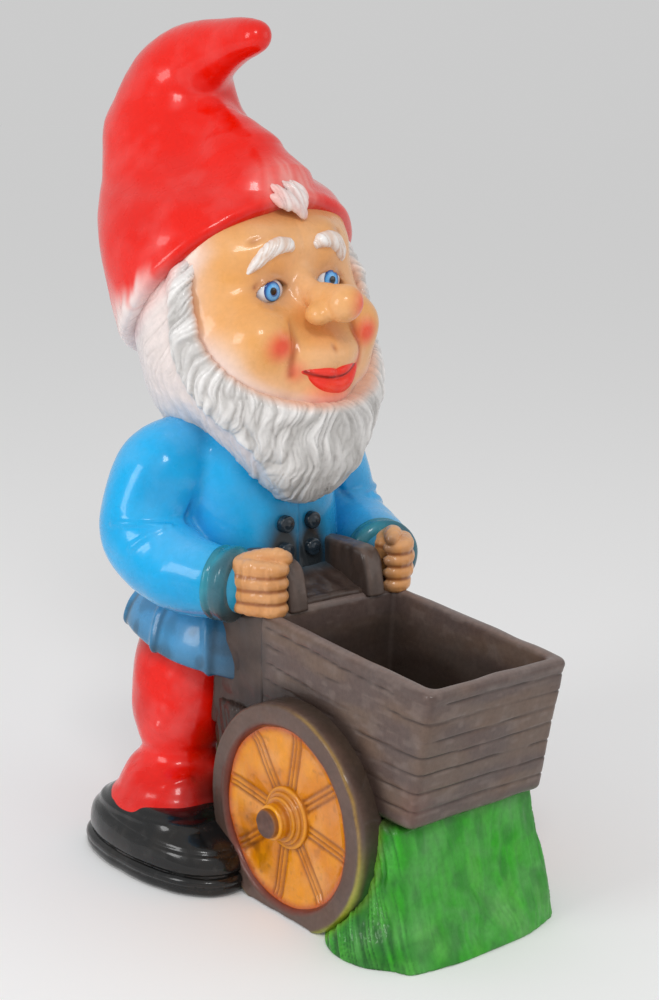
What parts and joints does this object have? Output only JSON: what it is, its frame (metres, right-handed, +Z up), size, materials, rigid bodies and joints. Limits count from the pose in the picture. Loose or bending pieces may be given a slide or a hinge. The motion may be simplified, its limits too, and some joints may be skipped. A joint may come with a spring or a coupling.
{
  "type": "garden gnome",
  "caption": "Hollow moulded garden gnome in a bent pointed cap and short jacket, pushing a wheeled cart on a grass mound; the open cart is a planter.",
  "frame": {"origin": "centre of the footprint's bounding box, on the ground", "axes": "+Z up, the gnome faces -Y and pushes the cart that way, +X is the gnome's left"},
  "size_m": [0.3018, 0.4635, 0.6838],
  "materials": {
    "skin": "clear-coated paint with sprayed blush and shading",
    "hat_red": "clear-coated paint, paler at the brim",
    "hair_white": "clear-coated paint with grey in the carved strands",
    "lip_red": "clear-coated paint",
    "jacket_blue": "clear-coated paint with darker sprayed shading",
    "cuff_teal": "clear-coated paint",
    "button_black": "clear-coated paint",
    "trouser_red": "clear-coated paint",
    "shoe_black": "clear-coated paint",
    "eye_white": "polished",
    "iris_blue": "polished",
    "pupil_black": "polished",
    "cart_brown": "satin paint",
    "cart_dark": "satin paint",
    "wheel_yellow": "clear-coated paint with brown shading in the creases",
    "grass_green": "satin paint with lighter sprayed patches",
    "plug_rubber": "matt"
  },
  "bodies": {
    "figure": {"head": "skin", "hat": "hat_red", "hair": "hair_white", "beard": "hair_white", "forelock": "hair_white", "lips": "lip_red", "jacket_body": "jacket_blue", "jacket_skirt": "jacket_blue", "cart_tub": "cart_brown", "cart_rear_web": "cart_dark", "grass_mound": "grass_green", "eye_right": "eye_white", "iris_right": "iris_blue", "pupil_right": "pupil_black", "eyebrow_right": "hair_white", "button_bottom_right": "button_black", "button_top_right": "button_black", "sleeve_right": "jacket_blue", "cuff_right": "cuff_teal", "hand_right": "skin", "trouser_leg_right": "trouser_red", "shoe_right": "shoe_black", "sole_right": "shoe_black", "handle_right": "cart_dark", "tyre_right": "cart_brown", "wheel_disc_right": "wheel_yellow", "hub_right": "wheel_yellow", "axle_end_right": "cart_brown", "eye_left": "eye_white", "iris_left": "iris_blue", "pupil_left": "pupil_black", "eyebrow_left": "hair_white", "button_bottom_left": "button_black", "button_top_left": "button_black", "sleeve_left": "jacket_blue", "cuff_left": "cuff_teal", "hand_left": "skin", "trouser_leg_left": "trouser_red", "shoe_left": "shoe_black", "sole_left": "shoe_black", "handle_left": "cart_dark", "tyre_left": "cart_brown", "wheel_disc_left": "wheel_yellow", "hub_left": "wheel_yellow", "axle_end_left": "cart_brown"},
    "plug": {"base_plug": "plug_rubber"}
  },
  "joints": [
    {"name": "plug_pull", "type": "slide", "parent": "figure", "child": "plug", "axis": [0, 0, -1], "range_m": [0, 0.02]}
  ]
}
